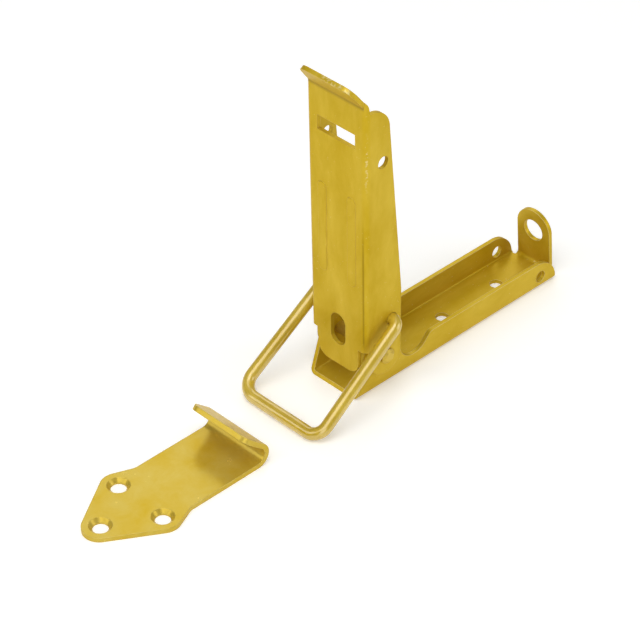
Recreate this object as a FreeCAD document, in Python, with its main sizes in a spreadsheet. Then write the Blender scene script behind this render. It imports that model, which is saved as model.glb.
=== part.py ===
import FreeCAD, Part
import math
import os

import Sketcher
from FreeCAD import Placement, Rotation, Vector

# Chest latch: a draw latch with a padlock eye, and the catch plate that it hooks on to.
# Millimetres. X runs along the base towards the padlock eye, Z points away from the
# surface that base and catch plate are screwed to, and Z = 0 is that surface.
# The origin is the middle screw hole of the base, on its underside.
# The lever stands open, as pictured, and the bail hangs from it with its bar on the surface.

sizes = {
    # Base channel
    "baseSheet": 1.5,
    "baseWidth": 22.2,
    "baseFront": 52.8,
    "wallHeight": 10.7,
    "wallEnd": 46.2,
    "wallEndRadius": 10.0,
    "baseBend": 0.6,
    "screwPitch": 27.5,
    "screwCount": 3,
    "screwHoleRadius": 2.35,
    # Hinge ears and the notch that lets the bail's ends drop in
    "pivotBack": 40.4,
    "pivotHeight": 13.6,
    "earRadius": 8.0,
    "notchRadius": 7.0,
    "notchBottom": 5.5,
    "notchSlope": 50.0,
    # Padlock eye, which leans a little towards the hinge; its heights run along it
    "eyeFace": 48.85,
    "eyeLean": 5.0,
    "eyeWidth": 14.9,
    "eyeHeight": 24.1,
    "eyeHoleHeight": 15.6,
    "eyeHoleRadius": 4.25,
    "eyeBend": 1.4,
    "eyeReliefWidth": 1.6,
    "eyeReliefDepth": 0.6,
    # Small holes through the walls of base and lever, in line when closed
    "lockAlong": 79.0,
    "lockDepth": 2.5,
    "lockHoleRadius": 2.25,
    # Hinge rivet
    "rivetRadius": 2.0,
    "rivetHeadRadius": 2.75,
    "rivetHeadHeight": 1.4,
    "rivetSeatGap": 0.05,
    # Lever
    "leverSheet": 1.5,
    "leverSideGap": 0.12,
    "leverTipWidth": 26.8,
    "leverLength": 104.0,
    "leverFace": 10.2,
    "leverFold": 2.0,
    "leverFoldStart": 5.8,
    "leverWallTop": 99.7,
    "leverWallRadius": 8.5,
    "leverLobeRadius": 6.9,
    "leverLobeShift": 0.5,
    "leverEdgeStart": 25.0,
    "leverEdgeTip": 0.4,
    "leverRivetGap": 0.08,
    "tongueLength": 4.8,
    "tongueGap": 0.35,
    "tongueRadius": 4.5,
    "leverLean": 1.0,
    "closedDip": 8.1,
    # Slot for the padlock eye
    "slotStart": 85.4,
    "slotLength": 5.4,
    "slotSideGap": 0.95,
    # Long hole above the hinge
    "accessAlong": 9.8,
    "accessRadius": 3.4,
    "accessLength": 5.9,
    # Two pressed ribs
    "ribSpacing": 13.2,
    "ribWidth": 3.7,
    "ribHeight": 0.3,
    "ribStart": 31.0,
    "ribLength": 35.0,
    # Finger lip
    "lipWidth": 24.2,
    "lipTipWidth": 22.4,
    "lipLength": 8.4,
    "lipAngle": 36.0,
    "lipBend": 2.5,
    "lipRadius": 4.2,
    # Bail
    "wireRadius": 2.2,
    "bailAlong": 14.4,
    "bailDepth": 2.1,
    "bailHoleGap": 0.1,
    "bailLength": 46.8,
    "bailEndWidth": 34.2,
    "bailNearSpread": 2.1,
    "bailFarSpread": 0.5,
    "bailSideways": 1.2,
    "bailNearCorner": 4.8,
    "bailFarCorner": 6.5,
    "bailNearBend": 2.9,
    "bailFarBend": 4.8,
    "bailEndReach": 8.7,
    # Catch plate
    "catchSheet": 1.8,
    "catchWidth": 26.6,
    "catchHookFace": 95.2,
    "catchHookInner": 3.0,
    "catchHookAngle": 40.0,
    "catchLipLength": 10.0,
    "catchLipRadius": 3.5,
    "catchHoleBack": 43.7,
    "catchHoleSpacing": 21.2,
    "catchTipBack": 16.8,
    "catchLobe": 6.15,
    "catchNeck": 33.4,
    "catchNeckRadius": 4.0,
    "catchHoleRadius": 2.6,
    "catchSinkRadius": 3.9,
    "edgeRadius": 0.25,
}

doc = FreeCAD.newDocument("ChestLatch")
sheet = doc.addObject("Spreadsheet::Sheet", "Sizes")
for row, (alias, value) in enumerate(sizes.items(), start=1):
    sheet.set("A%d" % row, alias)
    sheet.set("B%d" % row, str(value))
    sheet.setAlias("B%d" % row, alias)
doc.recompute()


def size(alias):
    """The value of a cell of the sheet."""
    return float(getattr(sheet, alias))


def bind(thing, path, expression):
    """Ties a property to the sheet; the cells' names stand in angle brackets."""
    for alias in sizes:
        expression = expression.replace("<" + alias + ">", "Sizes." + alias)
    thing.setExpression(path, expression)


def new_body(label):
    body = doc.addObject("PartDesign::Body", label)
    body.Label = label
    return body


def new_sketch(body, name, role, lift=None):
    """A sketch on one of the body's origin planes, lifted off it by an expression."""
    sketch = body.newObject("Sketcher::SketchObject", body.Name + "_" + name)
    plane = [item for item in body.Origin.OriginFeatures if item.Role == role][0]
    sketch.AttachmentSupport = [(plane, "")]
    sketch.MapMode = "FlatFace"
    if lift:
        bind(sketch, "AttachmentOffset.Base.z", lift)
        doc.recompute()
    return sketch


def chain(sketch, *pieces):
    """Adds lines and arcs to a sketch, joins their ends and holds them where they are."""
    for piece in pieces:
        number = sketch.addGeometry(piece, False)
        sketch.addConstraint(Sketcher.Constraint("Block", number))
    return sketch


def polygon(sketch, corners):
    lines = []
    for start, end in zip(corners, corners[1:] + corners[:1]):
        lines.append(Part.LineSegment(Vector(start[0], start[1], 0), Vector(end[0], end[1], 0)))
    return chain(sketch, *lines)


def circle(sketch, across, up, radius):
    """A circle whose centre and radius are expressions of the sheet."""
    number = sketch.addGeometry(Part.Circle(Vector(1, 1, 0), Vector(0, 0, 1), 1), False)
    named = [("Radius", radius, (number, 1.0)),
             ("DistanceX", across, (-1, 1, number, 3, 1.0)),
             ("DistanceY", up, (-1, 1, number, 3, 1.0))]
    for kind, expression, target in named:
        if expression is None:
            direction = "Vertical" if kind == "DistanceX" else "Horizontal"
            sketch.addConstraint(Sketcher.Constraint(direction, -1, 1, number, 3))
            continue
        place = sketch.addConstraint(Sketcher.Constraint(kind, *target))
        bind(sketch, "Constraints[%d]" % place, expression)
    return sketch


def pad(body, name, sketch, length, both_ways=False, reverse=False):
    feature = body.newObject("PartDesign::Pad", body.Name + "_" + name)
    feature.Profile = sketch
    bind(feature, "Length", length)
    feature.Midplane = both_ways
    feature.Reversed = reverse
    return feature


def pocket(body, name, sketch, length=None, both_ways=False, reverse=False):
    """Cuts a sketch out of the body, right through where no length is given."""
    doc.recompute()
    before = body.Shape.Volume
    feature = body.newObject("PartDesign::Pocket", body.Name + "_" + name)
    feature.Profile = sketch
    if length:
        bind(feature, "Length", length)
    else:
        feature.Type = "ThroughAll"
    feature.Midplane = both_ways
    feature.Reversed = reverse
    doc.recompute()
    if body.Shape.Volume >= before - 1e-6:
        raise RuntimeError("%s cut nothing" % feature.Name)
    return feature


def edges_where(shape, test):
    """Names of the edges whose middle point and direction pass a test."""
    names = []
    for number, edge in enumerate(shape.Edges, start=1):
        middle = edge.valueAt((edge.FirstParameter + edge.LastParameter) / 2)
        if test(edge, middle):
            names.append("Edge%d" % number)
    return names


def fillet(body, name, radius, test):
    doc.recompute()
    base = body.Tip
    names = edges_where(base.Shape, test)
    if not names:
        raise RuntimeError("%s finds no edge" % name)
    feature = body.newObject("PartDesign::Fillet", body.Name + "_" + name)
    feature.Base = (base, names)
    bind(feature, "Radius", radius)
    doc.recompute()
    return feature


def along(edge, axis):
    """Whether a straight edge runs along an axis, given as a vector."""
    if edge.Curve.TypeId != "Part::GeomLine" or edge.Length < 1e-6:
        return False
    return abs(abs(edge.Curve.Direction.dot(axis)) - 1) < 1e-6


def near(value, target, reach=0.01):
    return abs(value - target) < reach


AxisX = Vector(1, 0, 0)
AxisY = Vector(0, 1, 0)
AxisZ = Vector(0, 0, 1)


def arc(centre, radius, start, end):
    """An arc round a centre, counter-clockwise from one angle to the other, in degrees."""
    ring = Part.Circle(Vector(centre[0], centre[1], 0), AxisZ, radius)
    return Part.ArcOfCircle(ring, math.radians(start), math.radians(end))


def at_angle(centre, radius, angle):
    turn = math.radians(angle)
    return (centre[0] + radius * math.cos(turn), centre[1] + radius * math.sin(turn))


def line(start, end):
    return Part.LineSegment(Vector(start[0], start[1], 0), Vector(end[0], end[1], 0))


def rectangle(sketch, left, low, right, high):
    """A rectangle whose four sides are expressions of the sheet."""
    first = sketch.GeometryCount
    unit = [(0, 0), (1, 0), (1, 1), (0, 1)]
    for start, end in zip(unit, unit[1:] + unit[:1]):
        sketch.addGeometry(line(start, end), False)
    for number in range(4):
        after = first + (number + 1) % 4
        sketch.addConstraint(Sketcher.Constraint("Coincident", first + number, 2, after, 1))
    for number in (0, 2):
        sketch.addConstraint(Sketcher.Constraint("Horizontal", first + number))
        sketch.addConstraint(Sketcher.Constraint("Vertical", first + number + 1))
    corners = [("DistanceX", 0, left), ("DistanceY", 0, low), ("DistanceX", 2, right), ("DistanceY", 2, high)]
    for kind, corner, expression in corners:
        target = Sketcher.Constraint(kind, -1, 1, first + corner, 1, 1.0)
        place = sketch.addConstraint(target)
        bind(sketch, "Constraints[%d]" % place, expression)
    return sketch


# Base: a channel folded from sheet, ears at its front, an upright padlock eye at its end.
# Each wall's outline is drawn from the side, then the inside of the channel is cut out.

pivot = (-size("pivotBack"), size("pivotHeight"))
front = -size("baseFront")
rise = math.atan2(pivot[1], pivot[0] - front)
tangent = math.asin(size("earRadius") / math.hypot(pivot[0] - front, pivot[1]))
earStart = math.degrees(rise + tangent) + 90
notchHeight = size("notchBottom") + size("notchRadius")
reach = size("earRadius") + size("notchRadius")
drop = pivot[1] - notchHeight
notchMiddle = (pivot[0] + math.sqrt(reach ** 2 - drop ** 2), notchHeight)
earEnd = -math.degrees(math.asin(drop / reach))
notchEnd = size("notchSlope") - 90
notchExit = at_angle(notchMiddle, size("notchRadius"), notchEnd)
slopeRun = (size("wallHeight") - notchExit[1]) / math.tan(math.radians(size("notchSlope")))
shoulder = (notchExit[0] + slopeRun, size("wallHeight"))
endCorner = (size("wallEnd") - size("wallEndRadius"), size("wallHeight") - size("wallEndRadius"))

base = new_body("base")
baseSide = new_sketch(base, "Side", "XZ_Plane")
chain(
    baseSide,
    line((front, 0), at_angle(pivot, size("earRadius"), earStart)),
    arc(pivot, size("earRadius"), earEnd, earStart),
    arc(notchMiddle, size("notchRadius"), 180 + earEnd, 360 + notchEnd),
    line(notchExit, shoulder),
    line(shoulder, (endCorner[0], size("wallHeight"))),
    arc(endCorner, size("wallEndRadius"), 0, 90),
    line((size("wallEnd"), endCorner[1]), (size("wallEnd"), 0)),
    line((size("wallEnd"), 0), (front, 0)),
)
pad(base, "Walls", baseSide, "<baseWidth>", both_ways=True)

channel = new_sketch(base, "Inside", "YZ_Plane")
rectangle(channel, "-(<baseWidth> / 2 - <baseSheet>)", "<baseSheet>",
          "<baseWidth> / 2 - <baseSheet>", "4 * <pivotHeight>")
pocket(base, "Channel", channel, "8 * <baseFront>", both_ways=True)

fillet(base, "OuterFolds", "<baseBend> + <baseSheet>",
       lambda edge, middle: along(edge, AxisX) and near(middle.z, 0))
fillet(base, "InnerFolds", "<baseBend>",
       lambda edge, middle: along(edge, AxisX) and near(middle.z, size("baseSheet")))
fillet(base, "Shoulders", "2 * <baseSheet>",
       lambda edge, middle: (along(edge, AxisY) and near(middle.x, shoulder[0])
                             and near(middle.z, shoulder[1])))

# The eye is folded up out of the floor: a bent strip first, then the flat with the round top.
eyeSide = new_sketch(base, "EyeSide", "XZ_Plane")
eyeLean = size("eyeLean")
eyeFoot = (size("eyeFace"), 0)
eyeLow = size("eyeHoleHeight") / 2
eyeOuter = size("eyeBend") + size("baseSheet")
bendFoot = eyeOuter * (math.tan(math.radians(eyeLean)) + 1 / math.cos(math.radians(eyeLean)))
bendMiddle = (size("eyeFace") - bendFoot, eyeOuter)
floorStart = size("wallEnd") - 2 * size("eyeReliefDepth") - size("baseSheet")
outerTop = at_angle(eyeFoot, eyeLow, 90 + eyeLean)
innerTop = at_angle(outerTop, size("baseSheet"), 180 + eyeLean)
chain(
    eyeSide,
    line((floorStart, 0), (bendMiddle[0], 0)),
    arc(bendMiddle, eyeOuter, -90, eyeLean),
    line(at_angle(bendMiddle, eyeOuter, eyeLean), outerTop),
    line(outerTop, innerTop),
    line(innerTop, at_angle(bendMiddle, size("eyeBend"), eyeLean)),
    arc(bendMiddle, size("eyeBend"), -90, eyeLean),
    line((bendMiddle[0], size("baseSheet")), (floorStart, size("baseSheet"))),
    line((floorStart, size("baseSheet")), (floorStart, 0)),
)
pad(base, "EyeBend", eyeSide, "<eyeWidth>", both_ways=True)


def on_eye(name):
    """A sketch on the eye's outer face, up from the line where that face meets Z = 0."""
    sketch = new_sketch(base, name, "YZ_Plane", "<eyeFace>")
    sketch.AttachmentOffset = Placement(sketch.AttachmentOffset.Base, Rotation(AxisX, -1))
    bind(sketch, "AttachmentOffset.Rotation.Angle", "-<eyeLean> * 1 deg")
    doc.recompute()
    return sketch


eyeFront = on_eye("EyeFront")
eyeHalf = size("eyeWidth") / 2
eyeTop = (0, size("eyeHeight") - eyeHalf)
chain(
    eyeFront,
    line((-eyeHalf, eyeLow), (eyeHalf, eyeLow)),
    line((eyeHalf, eyeLow), (eyeHalf, eyeTop[1])),
    arc(eyeTop, eyeHalf, 0, 180),
    line((-eyeHalf, eyeTop[1]), (-eyeHalf, eyeLow)),
)
pad(base, "Eye", eyeFront, "<baseSheet>", reverse=True)

eyeHole = on_eye("EyeHole")
circle(eyeHole, None, "<eyeHoleHeight>", "<eyeHoleRadius>")
pocket(base, "PadlockHole", eyeHole, "4 * <baseSheet>", both_ways=True)

relief = new_sketch(base, "Relief", "XY_Plane")
reliefHalf = size("eyeReliefWidth") / 2
reliefEnd = size("wallEnd") - size("eyeReliefDepth") + reliefHalf
for side in (-1, 1):
    middleLine = side * (eyeHalf + reliefHalf)
    chain(
        relief,
        line((reliefEnd, middleLine - reliefHalf), (size("eyeFace"), middleLine - reliefHalf)),
        line((size("eyeFace"), middleLine - reliefHalf), (size("eyeFace"), middleLine + reliefHalf)),
        line((size("eyeFace"), middleLine + reliefHalf), (reliefEnd, middleLine + reliefHalf)),
        arc((reliefEnd, middleLine), reliefHalf, 90, 270),
    )
pocket(base, "ReliefNotches", relief, "2 * <baseSheet>", both_ways=True)

screws = new_sketch(base, "Screws", "XY_Plane")
for number in range(int(size("screwCount"))):
    fromMiddle = number - (int(size("screwCount")) - 1) // 2
    across = "%d * <screwPitch>" % fromMiddle if fromMiddle else None
    circle(screws, across, None, "<screwHoleRadius>")
pocket(base, "ScrewHoles", screws, "4 * <baseSheet>", both_ways=True)

pins = new_sketch(base, "Pins", "XZ_Plane")
circle(pins, "-<pivotBack>", "<pivotHeight>", "<rivetRadius>")
circle(pins,
       "-<pivotBack> + <lockAlong> * cos(<closedDip> * 1 deg) + <lockDepth> * sin(<closedDip> * 1 deg)",
       "<pivotHeight> - <lockAlong> * sin(<closedDip> * 1 deg) + <lockDepth> * cos(<closedDip> * 1 deg)",
       "<lockHoleRadius>")
pocket(base, "PinHoles", pins, "2 * <baseWidth>", both_ways=True)
doc.recompute()


# Hinge rivet: one pin through both ears and both lever walls, headed at each end.

pivotRivet = new_body("pivot_rivet")
rivetSketch = new_sketch(pivotRivet, "Half", "XY_Plane")
leverHalf = size("baseWidth") / 2 + size("leverSideGap") + size("leverSheet")
seat = leverHalf + size("rivetSeatGap")
head = seat + size("rivetHeadHeight")
shank = size("rivetRadius")
crown = size("rivetHeadRadius")
polygon(rivetSketch, [
    (0, -head), (crown * 0.6, -head), (crown, -head + size("rivetHeadHeight") * 0.6), (crown, -seat),
    (shank, -seat), (shank, seat), (crown, seat), (crown, head - size("rivetHeadHeight") * 0.6),
    (crown * 0.6, head), (0, head),
])
turned = pivotRivet.newObject("PartDesign::Revolution", "pivot_rivet_Turned")
turned.Profile = rivetSketch
turned.ReferenceAxis = (rivetSketch, ["V_Axis"])
turned.Angle = 360
bind(pivotRivet, "Placement.Base.x", "-<pivotBack>")
bind(pivotRivet, "Placement.Base.z", "<pivotHeight>")
doc.recompute()


# Lever: folded from sheet round the outside of the base's ears. Its own frame has its
# origin on the hinge, Z towards the finger lip, and the face towards -X.

lever = new_body("lever")
leverSide = new_sketch(lever, "Side", "XZ_Plane")
faceOut = -size("leverFace")
lobe = size("leverLobeRadius")
wallTop = size("leverWallTop")
lobeMiddle = (-size("leverLobeShift"), 0)
lobeFront = lobeMiddle[0] - lobe
lobeBack = lobeMiddle[0] + lobe
topRadius = size("leverWallRadius")
edgeTip = (size("leverEdgeTip"), wallTop - topRadius)
topMiddle = (edgeTip[0] - topRadius, edgeTip[1])
blankTop = size("leverLength") + size("lipLength")
chain(
    leverSide,
    line((faceOut, size("leverFoldStart")), (faceOut, blankTop)),
    line((faceOut, blankTop), (edgeTip[0], blankTop)),
    line((edgeTip[0], blankTop), edgeTip),
    line(edgeTip, (lobeBack, size("leverEdgeStart"))),
    line((lobeBack, size("leverEdgeStart")), (lobeBack, 0)),
    arc(lobeMiddle, lobe, 180, 360),
    line((lobeFront, 0), (lobeFront, size("leverFoldStart"))),
    line((lobeFront, size("leverFoldStart")), (faceOut, size("leverFoldStart"))),
)
pad(lever, "Outline", leverSide, "2 * <leverTipWidth>", both_ways=True)


def taper(along_lever, inset=0):
    """Half the lever's width at a place along it, less an inset."""
    growth = (size("leverTipWidth") / 2 - leverHalf) / size("leverLength")
    return leverHalf + growth * along_lever - inset


low = -2 * lobe
high = size("leverLength") + 2 * lobe
beyond = 2 * size("leverTipWidth")
sides = new_sketch(lever, "Sides", "YZ_Plane")
for side in (-1, 1):
    polygon(sides, [(side * taper(low), low), (side * beyond, low), (side * beyond, high),
                    (side * taper(high), high)])
pocket(lever, "Taper", sides, "8 * <leverFace>", both_ways=True)
fillet(lever, "OuterFolds", "<leverFold>",
       lambda edge, middle: near(middle.x, faceOut) and edge.Length > size("leverLength") / 2)

hollow = new_sketch(lever, "Hollow", "YZ_Plane", "-(<leverFace> - <leverSheet>)")
inset = size("leverSheet")
polygon(hollow, [(-taper(low, inset), low), (taper(low, inset), low), (taper(high, inset), high),
                 (-taper(high, inset), high)])
pocket(lever, "Hollow", hollow, "4 * <leverFace>", reverse=True)
fillet(lever, "InnerFolds", "<leverFold> - <leverSheet>",
       lambda edge, middle: near(middle.x, faceOut + inset) and edge.Length > size("leverLength") / 2)

# The lip bends away from the face on these two radii, about one centre.
lipInner = size("lipBend")
lipOuter = lipInner + size("leverSheet")
lipMiddle = (faceOut - lipInner, size("leverLength") - lipInner)
lipSlant = math.radians(size("lipAngle"))
lipDirection = (-math.sin(lipSlant), math.cos(lipSlant))
innerEnd = at_angle(lipMiddle, lipInner, size("lipAngle"))
outerEnd = at_angle(lipMiddle, lipOuter, size("lipAngle"))


def up_lip(start):
    return (start[0] + lipDirection[0] * size("lipLength"), start[1] + lipDirection[1] * size("lipLength"))


# Each wall ends in a round shoulder, and its fold runs on up to the back of the lip.
wallTops = new_sketch(lever, "WallTops", "XZ_Plane")
foldTip = (faceOut, outerEnd[1] + (outerEnd[0] - faceOut) / math.tan(lipSlant))
aside = size("leverFace")
chain(
    wallTops,
    line(edgeTip, (edgeTip[0] + aside, edgeTip[1])),
    line((edgeTip[0] + aside, edgeTip[1]), (edgeTip[0] + aside, blankTop + aside)),
    line((edgeTip[0] + aside, blankTop + aside), (faceOut - aside, blankTop + aside)),
    line((faceOut - aside, blankTop + aside), (faceOut - aside, foldTip[1])),
    line((faceOut - aside, foldTip[1]), foldTip),
    line(foldTip, outerEnd),
    arc(lipMiddle, lipOuter, 0, size("lipAngle")),
    line((faceOut + inset, lipMiddle[1]), (topMiddle[0], wallTop)),
    arc(topMiddle, topRadius, 0, 90),
)
pocket(lever, "WallTops", wallTops, "4 * <leverTipWidth>", both_ways=True)

tongue = new_sketch(lever, "Tongue", "YZ_Plane", "-<leverFace>")
tongueHalf = size("baseWidth") / 2 - size("baseSheet") - size("tongueGap")
tongueCorner = size("tongueRadius")
tongueEnd = -size("tongueLength")
tongueTop = size("leverFoldStart") + 1
chain(
    tongue,
    line((-tongueHalf, tongueTop), (-tongueHalf, tongueEnd + tongueCorner)),
    arc((tongueCorner - tongueHalf, tongueEnd + tongueCorner), tongueCorner, 180, 270),
    line((tongueCorner - tongueHalf, tongueEnd), (tongueHalf - tongueCorner, tongueEnd)),
    arc((tongueHalf - tongueCorner, tongueEnd + tongueCorner), tongueCorner, 270, 360),
    line((tongueHalf, tongueEnd + tongueCorner), (tongueHalf, tongueTop)),
    line((tongueHalf, tongueTop), (-tongueHalf, tongueTop)),
)
pad(lever, "Tongue", tongue, "<leverSheet>")

# The finger lip is folded out of the face, past the ends of the walls.
lipSide = new_sketch(lever, "LipSide", "XZ_Plane")
chain(
    lipSide,
    line((faceOut + inset, lipMiddle[1]), (faceOut, lipMiddle[1])),
    arc(lipMiddle, lipInner, 0, size("lipAngle")),
    line(innerEnd, up_lip(innerEnd)),
    line(up_lip(innerEnd), up_lip(outerEnd)),
    line(up_lip(outerEnd), outerEnd),
    arc(lipMiddle, lipOuter, 0, size("lipAngle")),
)
pad(lever, "Lip", lipSide, "<lipWidth>", both_ways=True)

lipSides = new_sketch(lever, "LipSides", "YZ_Plane")
for side in (-1, 1):
    polygon(lipSides, [(side * size("lipWidth") / 2, foldTip[1]), (side * beyond, foldTip[1]),
                       (side * beyond, blankTop), (side * size("lipTipWidth") / 2, blankTop)])
pocket(lever, "LipTaper", lipSides, "8 * <leverFace>", both_ways=True)


def at_lip_corner(edge, middle):
    """A short edge through the sheet at one of the two free corners of the lip."""
    tip = up_lip(((innerEnd[0] + outerEnd[0]) / 2, (innerEnd[1] + outerEnd[1]) / 2))
    short = near(edge.Length, size("leverSheet"), 0.1)
    return short and near(middle.x, tip[0], 0.05) and near(middle.z, tip[1], 0.05)


fillet(lever, "LipCorners", "<lipRadius>", at_lip_corner)

slot = new_sketch(lever, "Slot", "YZ_Plane", "-2 * <leverFace>")
rectangle(slot, "-(<eyeWidth> / 2 + <slotSideGap>)", "<slotStart>",
          "<eyeWidth> / 2 + <slotSideGap>", "<slotStart> + <slotLength>")
pocket(lever, "Slot", slot, "2 * <leverFace> - <leverFold>", reverse=True)

access = new_sketch(lever, "Access", "YZ_Plane", "-2 * <leverFace>")
accessReach = size("accessLength") / 2
accessMiddle = size("accessAlong")
accessSide = size("accessRadius")
chain(
    access,
    arc((0, accessMiddle + accessReach), accessSide, 0, 180),
    line((-accessSide, accessMiddle + accessReach), (-accessSide, accessMiddle - accessReach)),
    arc((0, accessMiddle - accessReach), accessSide, 180, 360),
    line((accessSide, accessMiddle - accessReach), (accessSide, accessMiddle + accessReach)),
)
pocket(lever, "AccessHole", access, "2 * <leverFace> - <leverFold>", reverse=True)


def rib_outline(sketch, half):
    for side in (-1, 1):
        middle = side * size("ribSpacing") / 2
        foot = size("ribStart") + half
        top = size("ribStart") + size("ribLength") - half
        chain(
            sketch,
            arc((middle, top), half, 0, 180),
            line((middle - half, top), (middle - half, foot)),
            arc((middle, foot), half, 180, 360),
            line((middle + half, foot), (middle + half, top)),
        )


ribs = new_sketch(lever, "Ribs", "YZ_Plane", "-<leverFace> - <ribHeight>")
rib_outline(ribs, size("ribWidth") / 2)
pad(lever, "Ribs", ribs, "2 * <ribHeight>")
grooves = new_sketch(lever, "Grooves", "YZ_Plane", "-(<leverFace> - <leverSheet>) - <ribHeight>")
rib_outline(grooves, size("ribWidth") / 2 - size("ribHeight"))
pocket(lever, "Grooves", grooves, "2 * <ribHeight>", reverse=True)
fillet(lever, "RibEdges", "<ribHeight> * 0.8",
       lambda edge, middle: near(middle.x, faceOut - size("ribHeight")))

leverPins = new_sketch(lever, "Pins", "XZ_Plane")
number = leverPins.addGeometry(Part.Circle(Vector(0, 0, 0), AxisZ, 1), False)
leverPins.addConstraint(Sketcher.Constraint("Coincident", number, 3, -1, 1))
place = leverPins.addConstraint(Sketcher.Constraint("Radius", number, 1.0))
bind(leverPins, "Constraints[%d]" % place, "<rivetRadius> + <leverRivetGap>")
circle(leverPins, "<bailDepth>", "<bailAlong>", "<wireRadius> + <bailHoleGap>")
circle(leverPins, "-<lockDepth>", "<lockAlong>", "<lockHoleRadius>")
pocket(lever, "PinHoles", leverPins, "4 * <leverTipWidth>", both_ways=True)

lever.Placement = Placement(Vector(), Rotation(AxisY, 1))
bind(lever, "Placement.Base.x", "-<pivotBack>")
bind(lever, "Placement.Base.z", "<pivotHeight>")
bind(lever, "Placement.Rotation.Angle", "-<leverLean> * 1 deg")
doc.recompute()


# Bail: round wire bent to a loop, its ends turned in through the holes in the lever's walls.
# Its own frame has its origin between the ends and the bar towards -X.

bail = new_body("bail")
barAway = -size("bailLength")
wireReach = size("bailEndReach")


def half_loop(side, bend, corner, spread):
    """Half of the loop: an end, its bend, a leg that leans outwards to the bar, and the corner."""
    legTop = size("bailEndWidth") / 2
    slant = math.degrees(math.atan2(spread, size("bailLength")))
    bendStart = legTop - bend * math.tan(math.radians(45 - slant / 2))
    barEnd = legTop + spread - corner * math.tan(math.radians(45 + slant / 2))
    bendMiddle = (-bend, side * bendStart)
    cornerMiddle = (barAway + corner, side * barEnd)
    outwards = side * (90 - slant)
    return [
        line((0, side * wireReach), (0, side * bendStart)),
        arc(bendMiddle, bend, *sorted((0, outwards))),
        line(at_angle(bendMiddle, bend, outwards), at_angle(cornerMiddle, corner, outwards)),
        arc(cornerMiddle, corner, *sorted((outwards, side * 180))),
        line((barAway, side * barEnd), (barAway, 0)),
    ]


loop = new_sketch(bail, "Loop", "XY_Plane")
farHalf = half_loop(1, size("bailFarBend"), size("bailFarCorner"), size("bailFarSpread"))
nearHalf = half_loop(-1, size("bailNearBend"), size("bailNearCorner"), size("bailNearSpread"))
chain(loop, *farHalf, *reversed(nearHalf))
wire = new_sketch(bail, "Wire", "XZ_Plane", "-<bailEndReach>")
number = wire.addGeometry(Part.Circle(Vector(0, 0, 0), AxisZ, 1), False)
wire.addConstraint(Sketcher.Constraint("Coincident", number, 3, -1, 1))
place = wire.addConstraint(Sketcher.Constraint("Radius", number, 1.0))
bind(wire, "Constraints[%d]" % place, "<wireRadius>")
doc.recompute()
bent = bail.newObject("PartDesign::AdditivePipe", "bail_Bent")
bent.Profile = wire
bent.Spine = (loop, ["Edge%d" % (number + 1) for number in range(loop.GeometryCount)])
doc.recompute()
fillet(bail, "EndEdges", "<edgeRadius>",
       lambda edge, middle: near(abs(middle.y), wireReach))

lean = math.radians(size("leverLean"))
bailEnd = (pivot[0] + size("bailDepth") * math.cos(lean) - size("bailAlong") * math.sin(lean),
           pivot[1] + size("bailDepth") * math.sin(lean) + size("bailAlong") * math.cos(lean))
bailDrop = math.degrees(math.asin((bailEnd[1] - size("wireRadius")) / size("bailLength")))
bailSideways = size("bailSideways")
bail.Placement = Placement(Vector(bailEnd[0], bailSideways, bailEnd[1]), Rotation(AxisY, -bailDrop))
doc.recompute()


# Catch plate: sheet rolled up into a hook at the end that the bail takes hold of.

catch = new_body("catch_plate")
catchSide = new_sketch(catch, "Side", "XZ_Plane")
hookInner = size("catchHookInner")
hookOuter = hookInner + size("catchSheet")
hookMiddle = (-size("catchHookFace") - hookOuter, hookOuter)
hookTurn = 90 - size("catchHookAngle")
tipHole = (-size("catchHookFace") - size("catchHoleBack") - size("catchTipBack"), 0)
tipEnd = tipHole[0] - size("catchLobe")
innerLip = at_angle(hookMiddle, hookInner, hookTurn)
outerLip = at_angle(hookMiddle, hookOuter, hookTurn)


def up_hook(start):
    return at_angle(start, size("catchLipLength"), 90 + hookTurn)


chain(
    catchSide,
    line((tipEnd, 0), (hookMiddle[0], 0)),
    arc(hookMiddle, hookOuter, -90, hookTurn),
    line(outerLip, up_hook(outerLip)),
    line(up_hook(outerLip), up_hook(innerLip)),
    line(up_hook(innerLip), innerLip),
    arc(hookMiddle, hookInner, -90, hookTurn),
    line((hookMiddle[0], size("catchSheet")), (tipEnd, size("catchSheet"))),
    line((tipEnd, size("catchSheet")), (tipEnd, 0)),
)
pad(catch, "Strip", catchSide, "2 * <catchWidth>", both_ways=True)

# The plan outline: lobes round the three screws, straight edges between them, and a
# hollow corner where each wing meets the straight part.
catchPlan = new_sketch(catch, "Plan", "XY_Plane")
wingHole = (-size("catchHookFace") - size("catchHoleBack"), size("catchHoleSpacing") / 2)
lobeRadius = size("catchLobe")
neckRadius = size("catchNeckRadius")
catchHalf = size("catchWidth") / 2
slope = math.degrees(math.atan2(wingHole[1], size("catchTipBack")))
neckMiddle = (-size("catchHookFace") - size("catchNeck"), catchHalf + neckRadius)
apart = math.hypot(wingHole[0] - neckMiddle[0], wingHole[1] - neckMiddle[1])
towards = math.degrees(math.atan2(wingHole[1] - neckMiddle[1], wingHole[0] - neckMiddle[0]))
crossing = math.degrees(math.acos((neckRadius + lobeRadius) / apart))
flare = towards % 360 + crossing
hookSide = -size("catchHookFace") + hookOuter


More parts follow.
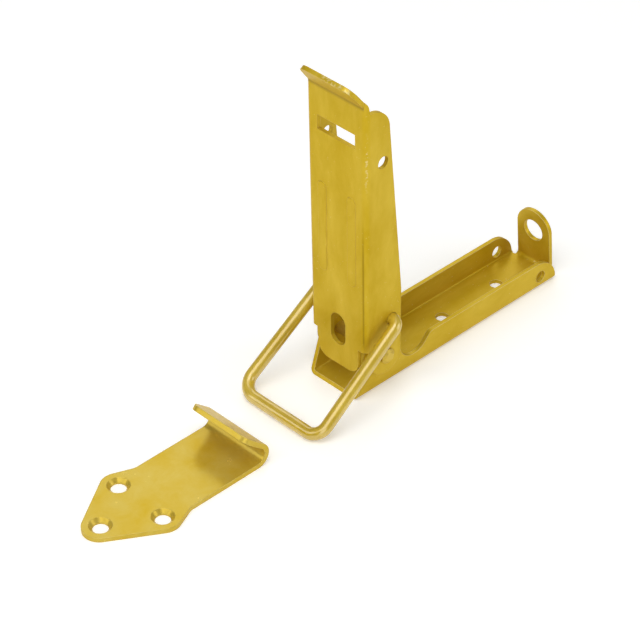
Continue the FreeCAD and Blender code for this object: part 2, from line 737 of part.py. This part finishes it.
def plan_half(side):
    """One long side of the plan outline, from the hook to the tip."""
    def mirrored(point):
        return (point[0], side * point[1])

    def bend(centre, radius, start, end):
        if side > 0:
            return arc(centre, radius, start, end)
        return arc(mirrored(centre), radius, 360 - end, 360 - start)

    flareStart = at_angle(neckMiddle, neckRadius, flare)
    flareEnd = at_angle(wingHole, lobeRadius, flare - 180)
    return [
        line(mirrored((hookSide, catchHalf)), mirrored((neckMiddle[0], catchHalf))),
        bend(neckMiddle, neckRadius, flare, 270),
        line(mirrored(flareStart), mirrored(flareEnd)),
        bend(wingHole, lobeRadius, flare - 180, 90 + slope),
        line(mirrored(at_angle(wingHole, lobeRadius, 90 + slope)),
             mirrored(at_angle(tipHole, lobeRadius, 90 + slope))),
    ]


chain(catchPlan, *plan_half(1))
chain(catchPlan, *plan_half(-1))
chain(catchPlan, arc(tipHole, lobeRadius, 90 + slope, 270 - slope))
chain(catchPlan, line((hookSide, -catchHalf), (hookSide, catchHalf)))
margin = 4 * lobeRadius
polygon(catchPlan, [(tipEnd - margin, -3 * catchHalf), (hookSide + margin, -3 * catchHalf),
                    (hookSide + margin, 3 * catchHalf), (tipEnd - margin, 3 * catchHalf)])
pocket(catch, "Plan", catchPlan, "8 * <catchWidth>", both_ways=True)


def at_hook_corner(edge, middle):
    """A short edge through the sheet at one of the two free corners of the hook."""
    ends = up_hook(innerLip), up_hook(outerLip)
    return near(middle.x, (ends[0][0] + ends[1][0]) / 2) and near(edge.Length, size("catchSheet"))


fillet(catch, "HookCorners", "<catchLipRadius>", at_hook_corner)

catchHoles = new_sketch(catch, "Holes", "XY_Plane")
circle(catchHoles, "-(<catchHookFace> + <catchHoleBack>)", "<catchHoleSpacing> / 2", "<catchHoleRadius>")
circle(catchHoles, "-(<catchHookFace> + <catchHoleBack>)", "-<catchHoleSpacing> / 2", "<catchHoleRadius>")
circle(catchHoles, "-(<catchHookFace> + <catchHoleBack> + <catchTipBack>)", None, "<catchHoleRadius>")
pocket(catch, "ScrewHoles", catchHoles, "4 * <catchSheet>", both_ways=True)
doc.recompute()
drilled = catch.Tip
rims = edges_where(drilled.Shape, lambda edge, middle: edge.Curve.TypeId == "Part::GeomCircle"
                   and near(edge.Curve.Radius, size("catchHoleRadius"))
                   and near(middle.z, size("catchSheet")))
sinks = catch.newObject("PartDesign::Chamfer", "catch_plate_Sinks")
sinks.Base = (drilled, rims)
bind(sinks, "Size", "<catchSinkRadius> - <catchHoleRadius>")
doc.recompute()


# Check every piece and write it out.

for item in doc.Objects:
    if "Invalid" in item.State or "Error" in item.State:
        raise RuntimeError("%s is not sound: %s" % (item.Name, item.State))
os.makedirs("parts", exist_ok=True)
for piece in (base, pivotRivet, lever, bail, catch):
    shape = piece.Shape
    if shape.isNull() or not shape.isValid() or len(shape.Solids) != 1:
        raise RuntimeError("%s is not one sound solid" % piece.Label)
    shape.exportStep("parts/%s.step" % piece.Label)
    print(piece.Label, round(shape.Volume, 1), shape.BoundBox)
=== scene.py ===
import math

import bmesh
import bpy
from mathutils import Matrix, Vector

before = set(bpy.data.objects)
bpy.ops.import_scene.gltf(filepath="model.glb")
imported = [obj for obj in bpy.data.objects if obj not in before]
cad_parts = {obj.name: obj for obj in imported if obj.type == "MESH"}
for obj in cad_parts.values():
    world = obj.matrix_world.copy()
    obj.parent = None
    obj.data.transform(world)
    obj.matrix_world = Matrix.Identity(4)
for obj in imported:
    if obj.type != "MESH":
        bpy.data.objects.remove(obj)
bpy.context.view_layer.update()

print("frame loaded:", sorted(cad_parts))


def toLinear(hexColour):
    # sRGB hex, as picked off a screen, to the linear values that the shaders take
    channels = [int(hexColour[i:i + 2], 16) / 255 for i in (1, 3, 5)]
    linear = [c / 12.92 if c <= 0.04045 else ((c + 0.055) / 1.055) ** 2.4 for c in channels]
    return (*linear, 1.0)


def addNode(tree, kind, settings=None, inputs=None, links=None):
    # one node with its settings, its socket values and what feeds its sockets
    node = tree.nodes.new(kind)
    for name, value in (settings or {}).items():
        setattr(node, name, value)
    for name, value in (inputs or {}).items():
        node.inputs[name].default_value = value
    for name, source in (links or {}).items():
        tree.links.new(source, node.inputs[name])
    return node


# Golden zinc plating on pressed steel, tumbled after pressing. It gives a satin yellow metal, a
# little cloudy and mottled where the bath took unevenly, with a painted highlight on the edges.
# The lever has these values as they stand, and each other piece changes some of them.
plating = {
    "colour": "#d8ba3e",
    "cloudColour": "#be9c00",
    # pale colour of the painted highlight along the edges, and of the scuffs
    "edgeHighlightAndScuffColour": "#e4cf80",
    "metallic": 0.35,       # the thick passivated coat scatters most light before the metal does
    "specular": 0.2,
    "specularTint": "#f2dc90",      # the coat is yellow all through, so even its sheen is warm
    "roughness": 0.38,
    "roughnessSpread": 0.10,
    "filmWeight": 0.0,      # the clear oxide film on top, worn off the flat strip
    "filmRoughness": 0.14,
    "filmIor": 2.2,
    "cloudSize": 9.0,       # mm across one cloud, with finer mottling inside it
    "cloudLength": 2.5,     # how much longer a cloud is along the strip
    "cloudDetail": 5.0,
    "cloudBreak": 0.62,     # how strong the finer mottling is
    "cloudTwist": 0.3,
    "cloudRange": (0.25, 0.75),     # the stretch of the noise that the two colours cover
    "grainLength": 9.0,     # mm, along the strip the piece was pressed from
    "grainWidth": 0.35,     # mm; the real grain is finer than a pixel, so it is drawn this coarse
    "grainDepth": 0.003,    # mm
    "grainStrength": 0.5,   # held back, as the grain is drawn coarse
    "edgeRadius": 0.3,      # mm, the rounding that tumbling leaves on a blanked edge
    "edgeSamples": 6,
    "edgeTurn": 0.15,       # 1 less the cosine of the normal's turn where the painted edge highlight is at full strength
    # how strongly the painted highlight lies along the edges
    "edgeHighlightShare": 0.35,
    "fleckSize": 1.1,       # mm between small scuffs
    "fleckDetail": 3.0,
    "fleckBreak": 0.7,
    "fleckRange": (0.66, 0.74),     # only the noise's peaks, so that the scuffs stay few
    "fleckShare": 0.6,
}

# The base's blanked rims carry the palest and strongest painted highlight.
baseFinishAndHighlight = {
    **plating,
    "edgeHighlightAndScuffColour": "#ecdca0",
    "edgeHighlightShare": 0.8,
}

# The rivet's peened heads are given a colour a shade paler than the sheet, a painted highlight that
# makes them read as bright discs.
rivetFinishAndHighlight = {
    **plating,
    "colour": "#dcc264",
    "cloudColour": "#cdac1c",
    "cloudLength": 1.0,
}

# The catch plate is glossier, with clouds and a faint ripple as wide as a fingertip, and its
# colours are paler than the sheet's, a painted sheen.
plateFinishAndSheen = {
    **plating,
    "colour": "#d3bb5a",
    "cloudColour": "#c8a828",
    "roughness": 0.24,
    "cloudLength": 1.0,
    "grainLength": 3.0,
    "grainWidth": 3.0,
    "grainDepth": 0.006,
    "edgeHighlightShare": 0.6,
    "fleckShare": 0.0,
}

# The bail is round wire with a clear film over the plating, so a pale streak runs along it.
wireFinish = {
    **plating,
    "colour": "#ddc14a",
    "cloudColour": "#c09e08",
    "metallic": 0.15,
    "specular": 0.5,
    "roughness": 0.36,
    "filmWeight": 0.7,
    "grainDepth": 0.001,
    "edgeHighlightShare": 0.0,
    "fleckShare": 0.3,
}


# Painted shade and painted highlights on the lever, in mm in its own frame: up from the pivot,
# across from the middle and out from the pivot, where the face is at a negative place. A mark is a
# line at one place, as wide to each side as its width, or a patch of flecks. It sets in from the
# first to the second place of each limit.
leverPaintedLight = {
    "pivot": (-40.4, 0.0, 13.6),
    "lean": 1.0,            # degrees
    # the flecks that break up the painted highlights on the fold and on the lip's edge
    "fleckSize": 1.1,       # mm
    "fleckDetail": 2.0,
    "fleckBreak": 0.6,
    "fleckRange": (0.5, 0.62),
    "fleckShare": 0.7,
    "marks": [
        # painted shade: a fine dark line beside the near fold
        {
            "line": ("across", -11.7),
            "width": 0.45,
            "share": 1.0,
            "colour": "#a08318",
            "limits": [("up", 7.0, 11.0), ("up", 62.0, 42.0)],      # sharp low down, fading upwards
        },
        # painted shade in the hollow where the lip bends off the face
        {
            "line": ("up", 102.1),
            "width": 1.1,
            "share": 0.65,
            "colour": "#8a6c10",
            "limits": [("out", -9.9, -10.1)],
        },
        # painted highlight on the near fold, towards its top, broken into pale flecks
        {
            "colour": "#e9d998",
            "limits": [
                ("across", -12.3, -12.8),
                ("out", -8.9, -9.4),
                ("up", 68.0, 78.0),
                ("up", 94.0, 86.0),
            ],
        },
        # painted highlight in the same pale flecks on the near half of the lip's free edge
        {
            "colour": "#e9d998",
            "limits": [("up", 108.0, 108.8), ("across", 4.0, 0.0)],
        },
    ],
}


# paints the lever's shade and highlights, listed above, into its base colour
def addLeverPaintedLight(material, values):
    tree = material.node_tree
    shader = next(node for node in tree.nodes if node.type == "BSDF_PRINCIPLED")
    colour = shader.inputs["Base Color"].links[0].from_socket
    place = addNode(tree, "ShaderNodeTexCoord")
    upright = addNode(
        tree, "ShaderNodeMapping",
        settings={"vector_type": "TEXTURE"},
        inputs={
            "Location": [value / 1000 for value in values["pivot"]],
            "Rotation": (0.0, -math.radians(values["lean"]), 0.0),
        },
        links={"Vector": place.outputs["Object"]},
    )
    axes = addNode(tree, "ShaderNodeSeparateXYZ", links={"Vector": upright.outputs["Vector"]})
    along = dict(zip(("out", "across", "up"), axes.outputs))
    flecks = addNode(
        tree, "ShaderNodeTexNoise",
        inputs={
            "Scale": 1000 / values["fleckSize"],
            "Detail": values["fleckDetail"],
            "Roughness": values["fleckBreak"],
        },
        links={"Vector": place.outputs["Object"]},
    )
    # the fleck pattern of the painted highlights
    highlightFlecks = addNode(
        tree, "ShaderNodeMapRange",
        inputs={
            "From Min": values["fleckRange"][0],
            "From Max": values["fleckRange"][1],
            "To Max": values["fleckShare"],
        },
        links={"Value": flecks.outputs["Fac"]},
    )

    for mark in values["marks"]:
        share = highlightFlecks.outputs["Result"]
        if "line" in mark:
            axis, middle = mark["line"]
            offset = addNode(
                tree, "ShaderNodeMath",
                settings={"operation": "SUBTRACT"},
                inputs={1: middle / 1000},
                links={0: along[axis]},
            )
            away = addNode(
                tree, "ShaderNodeMath",
                settings={"operation": "ABSOLUTE"},
                links={0: offset.outputs["Value"]},
            )
            share = addNode(
                tree, "ShaderNodeMapRange",
                inputs={"From Min": mark["width"] / 1000, "From Max": 0.0, "To Max": mark["share"]},
                links={"Value": away.outputs["Value"]},
            ).outputs["Result"]
        for axis, none, full in mark["limits"]:
            inside = addNode(
                tree, "ShaderNodeMapRange",
                settings={"interpolation_type": "SMOOTHSTEP"},
                inputs={"From Min": none / 1000, "From Max": full / 1000},
                links={"Value": along[axis]},
            )
            share = addNode(
                tree, "ShaderNodeMath",
                settings={"operation": "MULTIPLY"},
                links={0: share, 1: inside.outputs["Result"]},
            ).outputs["Value"]
        colour = addNode(
            tree, "ShaderNodeMix",
            settings={"data_type": "RGBA"},
            inputs={7: toLinear(mark["colour"])},      # sockets 6 and 7 are the two colours
            links={0: share, 6: colour},
        ).outputs[2]
    tree.links.new(colour, shader.inputs["Base Color"])


def platedSteel(name, values, grainAxis):
    material = bpy.data.materials.new(name)
    material.use_nodes = True
    tree = material.node_tree
    tree.nodes.clear()
    place = addNode(tree, "ShaderNodeTexCoord")
    shape = addNode(tree, "ShaderNodeNewGeometry")

    # clouds with finer mottling inside them
    cloudScale = [1000 / values["cloudSize"]] * 3
    cloudScale[grainAxis] /= values["cloudLength"]
    spread = addNode(
        tree, "ShaderNodeMapping",
        inputs={"Scale": cloudScale},
        links={"Vector": place.outputs["Object"]},
    )
    clouds = addNode(
        tree, "ShaderNodeTexNoise",
        inputs={
            "Scale": 1.0,
            "Detail": values["cloudDetail"],
            "Roughness": values["cloudBreak"],
            "Distortion": values["cloudTwist"],
        },
        links={"Vector": spread.outputs["Vector"]},
    )
    tint = addNode(tree, "ShaderNodeValToRGB", links={"Fac": clouds.outputs["Fac"]})
    for stop, position, colour in zip(
        tint.color_ramp.elements, values["cloudRange"], (values["cloudColour"], values["colour"]),
    ):
        stop.position = position
        stop.color = toLinear(colour)

    # edges, rounded by tumbling, with a pale painted highlight along them; the small scuffs take
    # the same pale colour
    edge = addNode(
        tree, "ShaderNodeBevel",
        settings={"samples": values["edgeSamples"]},
        inputs={"Radius": values["edgeRadius"] / 1000},
    )
    alike = addNode(
        tree, "ShaderNodeVectorMath",
        settings={"operation": "DOT_PRODUCT"},
        links={0: edge.outputs["Normal"], 1: shape.outputs["Normal"]},
    )
    edgeHighlight = addNode(
        tree, "ShaderNodeMapRange",
        inputs={
            "From Min": 1.0,
            "From Max": 1.0 - values["edgeTurn"],
            "To Max": values["edgeHighlightShare"],
        },
        links={"Value": alike.outputs["Value"]},
    )
    flecks = addNode(
        tree, "ShaderNodeTexNoise",
        inputs={
            "Scale": 1000 / values["fleckSize"],
            "Detail": values["fleckDetail"],
            "Roughness": values["fleckBreak"],
        },
        links={"Vector": place.outputs["Object"]},
    )
    scuffed = addNode(
        tree, "ShaderNodeMapRange",
        inputs={
            "From Min": values["fleckRange"][0],
            "From Max": values["fleckRange"][1],
            "To Max": values["fleckShare"],
        },
        links={"Value": flecks.outputs["Fac"]},
    )
    # the painted edge highlight and the scuffs, whichever is stronger
    highlightAndScuffs = addNode(
        tree, "ShaderNodeMath",
        settings={"operation": "MAXIMUM"},
        links={0: edgeHighlight.outputs["Result"], 1: scuffed.outputs["Result"]},
    )
    # the clouded colour with the painted edge highlight and the scuffs mixed in
    coat = addNode(
        tree, "ShaderNodeMix",
        settings={"data_type": "RGBA"},
        inputs={7: toLinear(values["edgeHighlightAndScuffColour"])},
        links={0: highlightAndScuffs.outputs["Value"], 6: tint.outputs["Color"]},
    )

    # gloss that wanders a little, and the grain of the rolled strip
    gloss = addNode(
        tree, "ShaderNodeMapRange",
        inputs={
            "From Min": values["cloudRange"][0],
            "From Max": values["cloudRange"][1],
            "To Min": values["roughness"] - values["roughnessSpread"] / 2,
            "To Max": values["roughness"] + values["roughnessSpread"] / 2,
        },
        links={"Value": clouds.outputs["Fac"]},
    )
    stretch = [1000 / values["grainWidth"]] * 3
    stretch[grainAxis] = 1000 / values["grainLength"]
    along = addNode(
        tree, "ShaderNodeMapping",
        inputs={"Scale": stretch},
        links={"Vector": place.outputs["Object"]},
    )
    grain = addNode(
        tree, "ShaderNodeTexNoise",
        inputs={"Scale": 1.0, "Detail": 1.0},
        links={"Vector": along.outputs["Vector"]},
    )
    bump = addNode(
        tree, "ShaderNodeBump",
        inputs={"Strength": values["grainStrength"], "Distance": values["grainDepth"] / 1000},
        links={"Height": grain.outputs["Fac"], "Normal": edge.outputs["Normal"]},
    )
    metal = addNode(
        tree, "ShaderNodeBsdfPrincipled",
        inputs={
            "Metallic": values["metallic"],
            "Specular IOR Level": values["specular"],
            "Specular Tint": toLinear(values["specularTint"]),
            "Coat Weight": values["filmWeight"],
            "Coat Roughness": values["filmRoughness"],
            "Coat IOR": values["filmIor"],
        },
        links={
            "Base Color": coat.outputs[2],
            "Roughness": gloss.outputs["Result"],
            "Normal": bump.outputs["Normal"],
        },
    )
    addNode(tree, "ShaderNodeOutputMaterial", links={"Surface": metal.outputs["BSDF"]})
    return material


finishes = {
    "base": platedSteel("zincPlatedSteelBase", baseFinishAndHighlight, 0),
    "pivot_rivet": platedSteel("zincPlatedSteelRivet", rivetFinishAndHighlight, 1),
    "lever": platedSteel("zincPlatedSteelLever", plating, 2),
    "bail": platedSteel("zincPlatedSteelWire", wireFinish, 0),
    "catch_plate": platedSteel("zincPlatedSteelPlate", plateFinishAndSheen, 0),
}
addLeverPaintedLight(finishes["lever"], leverPaintedLight)
for node, material in finishes.items():
    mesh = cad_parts[node].data
    mesh.materials.clear()
    mesh.materials.append(material)
print("finishes given to", len(finishes), "pieces")


# A pale floor, and six soft lamps all round the object, as in a light tent.
studio = {
    "floorSize": 6.0,
    "floorColour": "#fbfbf9",
    "floorGlow": 0.22,      # seen only by the camera and in reflections, so it lights nothing
    "worldColour": "#ffffff",
    "worldStrength": 0.15,
    "aim": (-0.04, 0.0, 0.03),
    "lamps": [
        {"name": "top", "at": (-0.1, 0.0, 1.1), "size": 0.8, "power": 2.1},
        {"name": "overhead", "at": (-0.5, -0.2, 0.9), "size": 0.8, "power": 4.1},
        {"name": "front", "at": (-0.9, -0.9, 0.45), "size": 0.8, "power": 3.5},
        {"name": "back", "at": (0.75, 0.75, 0.75), "size": 0.9, "power": 3.6},
        {"name": "left", "at": (-1.1, 0.5, 0.6), "size": 0.8, "power": 3.5},
        {"name": "right", "at": (0.6, -1.0, 0.5), "size": 0.8, "power": 4.2},
    ],
}


def aimed(location, target):
    # a matrix that puts a thing at location and turns its -Z to the target, +Y up
    away = (Vector(location) - Vector(target)).normalized()
    right = Vector((0, 0, 1)).cross(away).normalized()
    turned = Matrix((right, away.cross(right), away)).transposed().to_4x4()
    return Matrix.Translation(location) @ turned


def buildStudio(values):
    sheet = bmesh.new()
    bmesh.ops.create_grid(sheet, x_segments=1, y_segments=1, size=values["floorSize"] / 2)
    mesh = bpy.data.meshes.new("floor")
    sheet.to_mesh(mesh)
    sheet.free()
    floor = bpy.data.objects.new("floor", mesh)
    bpy.context.scene.collection.objects.link(floor)
    paper = bpy.data.materials.new("whitePaper")
    paper.use_nodes = True
    tree = paper.node_tree
    tree.nodes.clear()
    seen = addNode(tree, "ShaderNodeLightPath")
    matt = addNode(tree, "ShaderNodeBsdfDiffuse", inputs={"Color": toLinear(values["floorColour"])})
    mirrored = addNode(
        tree, "ShaderNodeMath",
        settings={"operation": "MAXIMUM"},
        links={0: seen.outputs["Is Glossy Ray"], 1: seen.outputs["Is Transmission Ray"]},
    )
    visible = addNode(
        tree, "ShaderNodeMath",
        settings={"operation": "MAXIMUM"},
        links={0: seen.outputs["Is Camera Ray"], 1: mirrored.outputs["Value"]},
    )
    strength = addNode(
        tree, "ShaderNodeMath",
        settings={"operation": "MULTIPLY"},
        inputs={1: values["floorGlow"]},
        links={0: visible.outputs["Value"]},
    )
    glow = addNode(tree, "ShaderNodeEmission", links={"Strength": strength.outputs["Value"]})
    both = addNode(
        tree, "ShaderNodeAddShader",
        links={0: matt.outputs["BSDF"], 1: glow.outputs["Emission"]},
    )
    addNode(tree, "ShaderNodeOutputMaterial", links={"Surface": both.outputs["Shader"]})
    mesh.materials.append(paper)

    world = bpy.data.worlds.new("studio")
    world.use_nodes = True
    back = world.node_tree.nodes["Background"]
    back.inputs["Color"].default_value = toLinear(values["worldColour"])
    back.inputs["Strength"].default_value = values["worldStrength"]
    bpy.context.scene.world = world

    for lamp in values["lamps"]:
        light = bpy.data.lights.new(lamp["name"], "AREA")
        light.size = lamp["size"]
        light.energy = lamp["power"]
        holder = bpy.data.objects.new(lamp["name"], light)
        holder.matrix_world = aimed(lamp["at"], values["aim"])
        bpy.context.scene.collection.objects.link(holder)


buildStudio(studio)
print("studio built")


# The photograph's view, worked out from the parallel edges of the base and the lever.
view = {
    "aim": (-0.04938, 0.00991, 0.02087),
    "azimuth": -44.45,
    "elevation": 37.1,      # degrees, as the azimuth
    "distance": 0.913,      # m
    "lens": 154.07,         # mm, as the sensor
    "sensor": 36.0,
    "clipEnd": 20.0,        # past the far side of the floor
}


def buildCamera(values):
    azimuth = math.radians(values["azimuth"])
    elevation = math.radians(values["elevation"])
    back = Vector((
        math.sin(azimuth) * math.cos(elevation),
        -math.cos(azimuth) * math.cos(elevation),
        math.sin(elevation),
    ))
    camera = bpy.data.cameras.new("camera")
    camera.lens = values["lens"]
    camera.sensor_width = values["sensor"]
    camera.clip_end = values["clipEnd"]
    holder = bpy.data.objects.new("camera", camera)
    place = Vector(values["aim"]) + back * values["distance"]
    holder.matrix_world = aimed(place, values["aim"])
    bpy.context.scene.collection.objects.link(holder)
    bpy.context.scene.camera = holder


buildCamera(view)
bpy.context.scene.view_settings.view_transform = "Standard"
print("camera placed")
